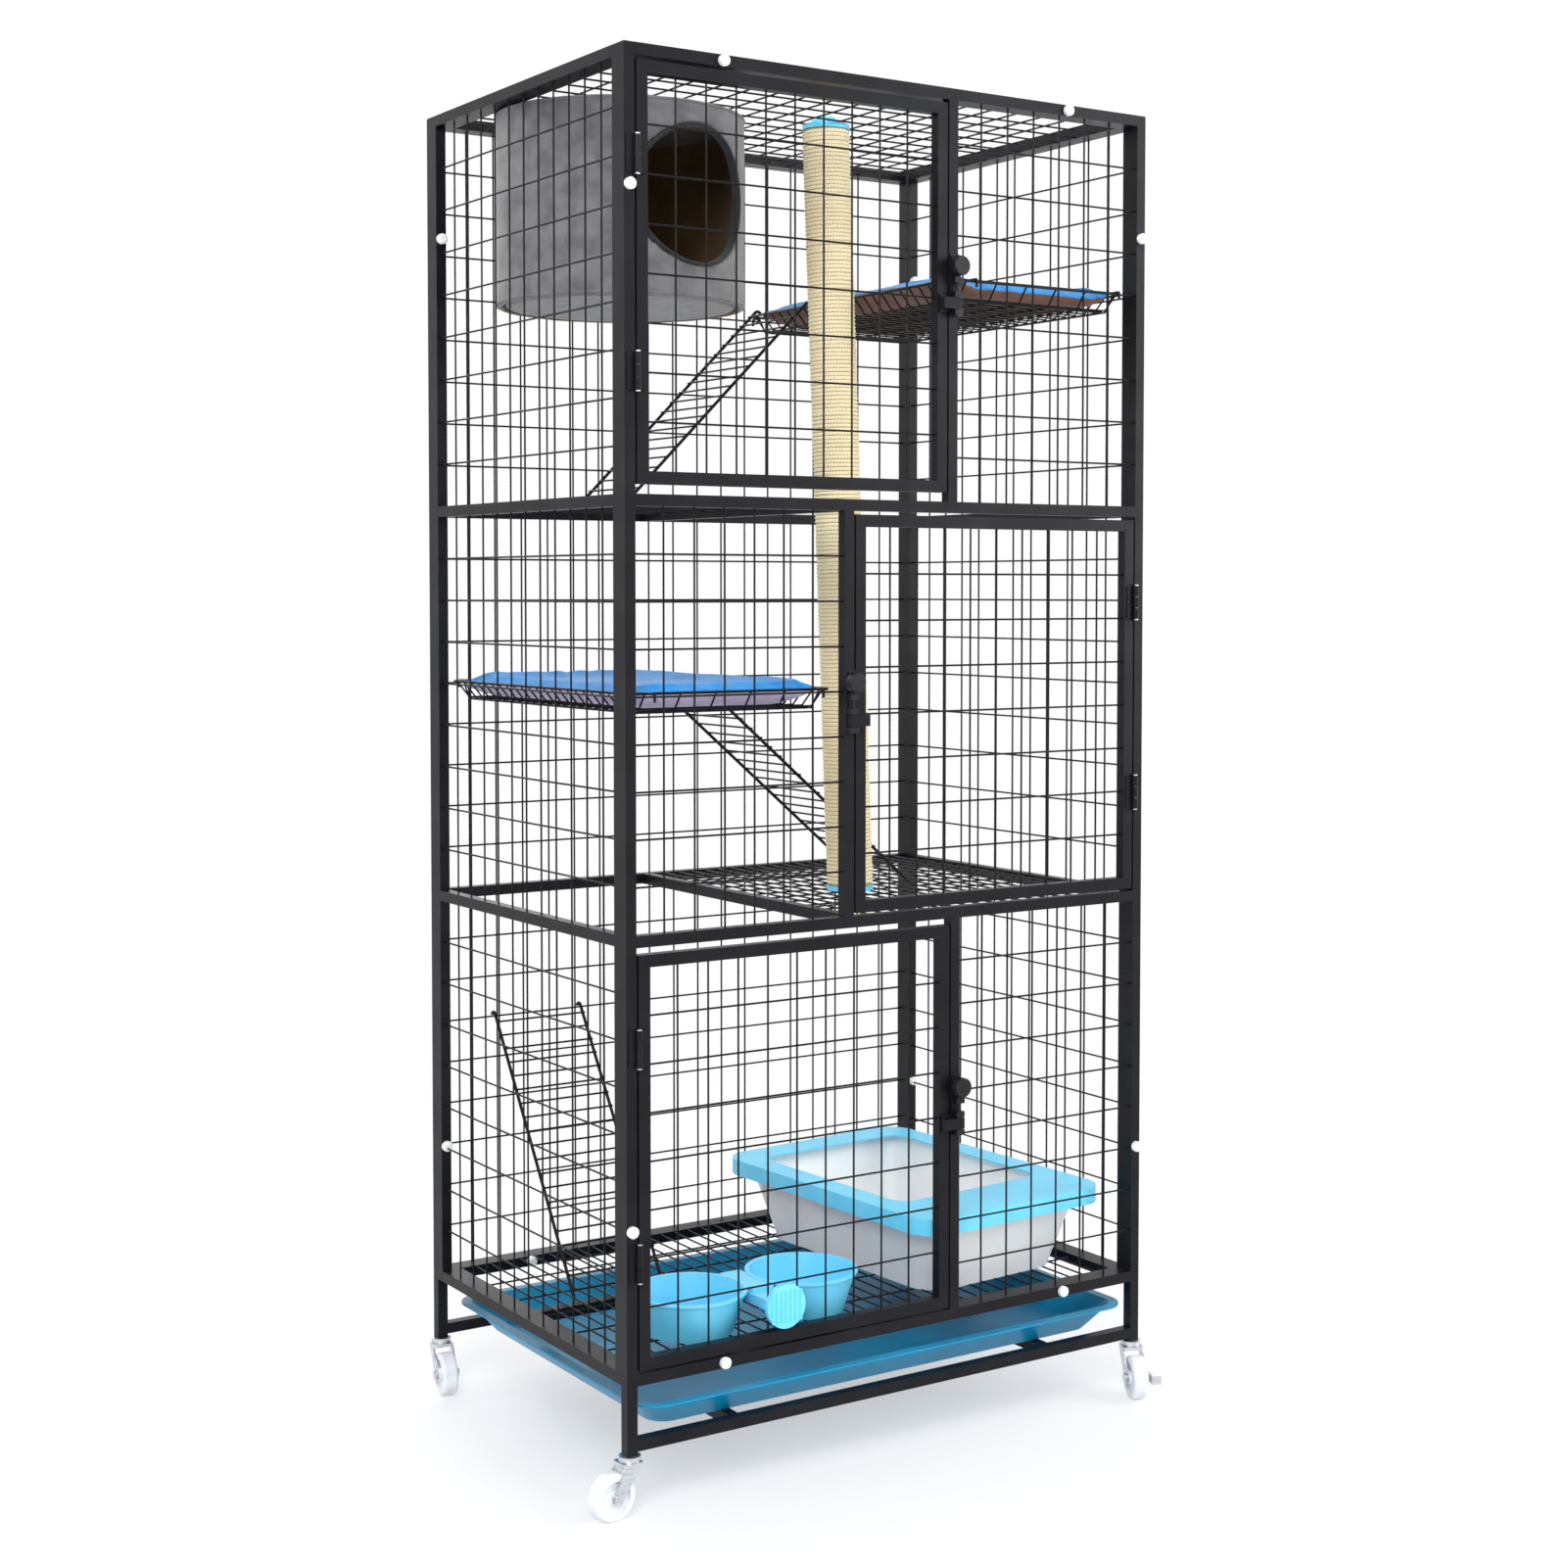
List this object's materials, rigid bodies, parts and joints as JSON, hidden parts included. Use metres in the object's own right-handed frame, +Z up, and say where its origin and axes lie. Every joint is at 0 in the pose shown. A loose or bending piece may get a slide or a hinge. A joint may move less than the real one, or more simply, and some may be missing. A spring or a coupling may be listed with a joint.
{
  "type": "cat cage",
  "caption": "Tall wheeled cat cage of square tube and welded mesh on three tiers, with doors, shelves, ladders, hanging house, scratching post, litter pan, bowls and slide-out tray.",
  "frame": {"origin": "on the ground, under the middle of the whole object's box", "axes": "+X right along the front, +Y to the back, +Z up"},
  "size_m": [0.9638, 0.6792, 1.948],
  "materials": {
    "black_paint": "satin black powder coat",
    "black_wire": "black powder-coated wire",
    "zinc": "bright zinc plate",
    "black_plastic": "matt black moulded plastic",
    "white_plastic": "glossy white moulded plastic",
    "wheel_nylon": "white nylon",
    "cushion_cloth": "blue fleece above, brown or lilac below",
    "card": "plain tube",
    "sisal": "natural sisal rope",
    "grey_plush": "short grey plush",
    "dark_binding": "dark cloth binding",
    "light_blue_plastic": "light blue moulded plastic",
    "pan_white": "milky white moulded plastic",
    "blue_plastic": "blue moulded plastic"
  },
  "bodies": {
    "root": {"corner_posts": "black_paint", "post_ends": "black_plastic", "front_frame": "black_paint", "rear_rails": "black_paint", "left_panel_frame": "black_paint", "right_panel_frame": "black_paint", "roof_frame": "black_paint", "floor_frame": "black_paint", "cross_tubes": "black_paint", "front_nets": "black_wire", "back_nets": "black_wire", "side_nets": "black_wire", "roof_net": "black_wire", "floor_nets": "black_wire", "frame_knobs": "white_plastic", "latch_plates": "black_plastic", "hinge_leaves": "black_paint", "hinge_pins": "zinc", "upper_shelf": "black_wire", "middle_shelf": "black_wire", "upper_cushion": "cushion_cloth", "middle_cushion": "cushion_cloth", "sisal_core": "card", "sisal_wrap": "sisal", "sisal_caps": "light_blue_plastic", "house_wall": "grey_plush", "house_trim": "dark_binding", "house_ends": "grey_plush", "roof_clamps": "light_blue_plastic", "litter_pan_base": "pan_white", "caster_stems": "zinc"},
    "top_door": {"top_door_frame": "black_paint", "top_door_net": "black_wire", "top_door_fittings": "black_paint"},
    "middle_door": {"middle_door_frame": "black_paint", "middle_door_net": "black_wire", "middle_door_fittings": "black_paint"},
    "bottom_door": {"bottom_door_frame": "black_paint", "bottom_door_net": "black_wire", "bottom_door_fittings": "black_paint", "double_bowl": "light_blue_plastic"},
    "top_latch": {"top_latch_bolt": "black_plastic"},
    "middle_latch": {"middle_latch_bolt": "black_plastic"},
    "bottom_latch": {"bottom_latch_bolt": "black_plastic"},
    "upper_ladder": {"upper_ladder": "black_wire"},
    "middle_ladder": {"middle_ladder": "black_wire"},
    "lower_ladder": {"lower_ladder": "black_wire"},
    "tray": {"tray": "blue_plastic"},
    "pan_rim": {"litter_pan_rim": "light_blue_plastic"},
    "bowl_clamp": {"bowl_clamp": "light_blue_plastic"},
    "front_left_caster": {"front_left_caster_fork": "zinc"},
    "front_left_wheel": {"front_left_caster_wheel": "wheel_nylon"},
    "front_right_caster": {"front_right_caster_fork": "zinc"},
    "front_right_wheel": {"front_right_caster_wheel": "wheel_nylon"},
    "rear_left_caster": {"rear_left_caster_fork": "zinc"},
    "rear_left_wheel": {"rear_left_caster_wheel": "wheel_nylon"},
    "rear_right_caster": {"rear_right_caster_fork": "zinc"},
    "rear_right_wheel": {"rear_right_caster_wheel": "wheel_nylon"},
    "front_right_brake": {"front_right_caster_brake": "zinc"},
    "rear_right_brake": {"rear_right_caster_brake": "zinc"}
  },
  "joints": [
    {"name": "top_door_swing", "type": "hinge", "parent": "root", "child": "top_door", "pos_m": [-0.40559, -0.28362, 1.651], "axis": [0, 0, -1], "range_deg": [0, 165]},
    {"name": "middle_door_swing", "type": "hinge", "parent": "root", "child": "middle_door", "pos_m": [0.45941, -0.28362, 1.061], "axis": [0, 0, 1], "range_deg": [0, 165]},
    {"name": "bottom_door_swing", "type": "hinge", "parent": "root", "child": "bottom_door", "pos_m": [-0.40559, -0.28362, 0.472], "axis": [0, 0, -1], "range_deg": [0, 165]},
    {"name": "top_latch_lift", "type": "slide", "parent": "root", "child": "top_latch", "axis": [0, 0, 1], "range_m": [0, 0.03]},
    {"name": "middle_latch_lift", "type": "slide", "parent": "root", "child": "middle_latch", "axis": [0, 0, 1], "range_m": [0, 0.03]},
    {"name": "bottom_latch_lift", "type": "slide", "parent": "root", "child": "bottom_latch", "axis": [0, 0, 1], "range_m": [0, 0.03]},
    {"name": "tray_slide", "type": "slide", "parent": "root", "child": "tray", "axis": [0, -1, 0], "range_m": [0, 0.5]},
    {"name": "pan_rim_lift", "type": "slide", "parent": "root", "child": "pan_rim", "axis": [0, 0, 1], "range_m": [0, 0.12]},
    {"name": "upper_ladder_swing", "type": "hinge", "parent": "root", "child": "upper_ladder", "pos_m": [0.13491, 0.19818, 1.68202], "axis": [0, 1, 0], "range_deg": [0, 15]},
    {"name": "middle_ladder_swing", "type": "hinge", "parent": "root", "child": "middle_ladder", "pos_m": [-0.10109, 0.10418, 1.07236], "axis": [0, -1, 0], "range_deg": [0, 20]},
    {"name": "lower_ladder_swing", "type": "hinge", "parent": "root", "child": "lower_ladder", "pos_m": [-0.24709, 0.32318, 0.57067], "axis": [-1, 0, 0], "range_deg": [0, 40]},
    {"name": "bowl_clamp_turn", "type": "hinge", "parent": "bottom_door", "child": "bowl_clamp", "pos_m": [-0.17064, -0.27682, 0.24275], "axis": [0, -1, 0], "continuous": true},
    {"name": "front_left_swivel", "type": "hinge", "parent": "root", "child": "front_left_caster", "pos_m": [-0.41509, -0.27082, 0.07], "axis": [0, 0, 1], "continuous": true},
    {"name": "front_left_roll", "type": "hinge", "parent": "front_left_caster", "child": "front_left_wheel", "pos_m": [-0.44398, -0.27335, 0.032], "axis": [-0.0872, 0.9962, 0], "continuous": true},
    {"name": "front_right_swivel", "type": "hinge", "parent": "root", "child": "front_right_caster", "pos_m": [0.46891, -0.27082, 0.07], "axis": [0, 0, 1], "continuous": true},
    {"name": "front_right_roll", "type": "hinge", "parent": "front_right_caster", "child": "front_right_wheel", "pos_m": [0.45665, -0.2971, 0.032], "axis": [-0.9063, 0.4226, 0], "continuous": true},
    {"name": "front_right_brake_press", "type": "hinge", "parent": "front_right_caster", "child": "front_right_brake", "pos_m": [0.45665, -0.2971, 0.032], "axis": [0.9063, -0.4226, 0], "range_deg": [0, 15]},
    {"name": "rear_left_swivel", "type": "hinge", "parent": "root", "child": "rear_left_caster", "pos_m": [-0.41509, 0.32318, 0.07], "axis": [0, 0, 1], "continuous": true},
    {"name": "rear_left_roll", "type": "hinge", "parent": "rear_left_caster", "child": "rear_left_wheel", "pos_m": [-0.42013, 0.29462, 0.032], "axis": [-0.9848, 0.1736, 0], "continuous": true},
    {"name": "rear_right_swivel", "type": "hinge", "parent": "root", "child": "rear_right_caster", "pos_m": [0.46891, 0.32318, 0.07], "axis": [0, 0, 1], "continuous": true},
    {"name": "rear_right_roll", "type": "hinge", "parent": "rear_right_caster", "child": "rear_right_wheel", "pos_m": [0.44379, 0.30868, 0.032], "axis": [-0.5, 0.866, 0], "continuous": true},
    {"name": "rear_right_brake_press", "type": "hinge", "parent": "rear_right_caster", "child": "rear_right_brake", "pos_m": [0.44379, 0.30868, 0.032], "axis": [0.5, -0.866, 0], "range_deg": [0, 15]}
  ]
}
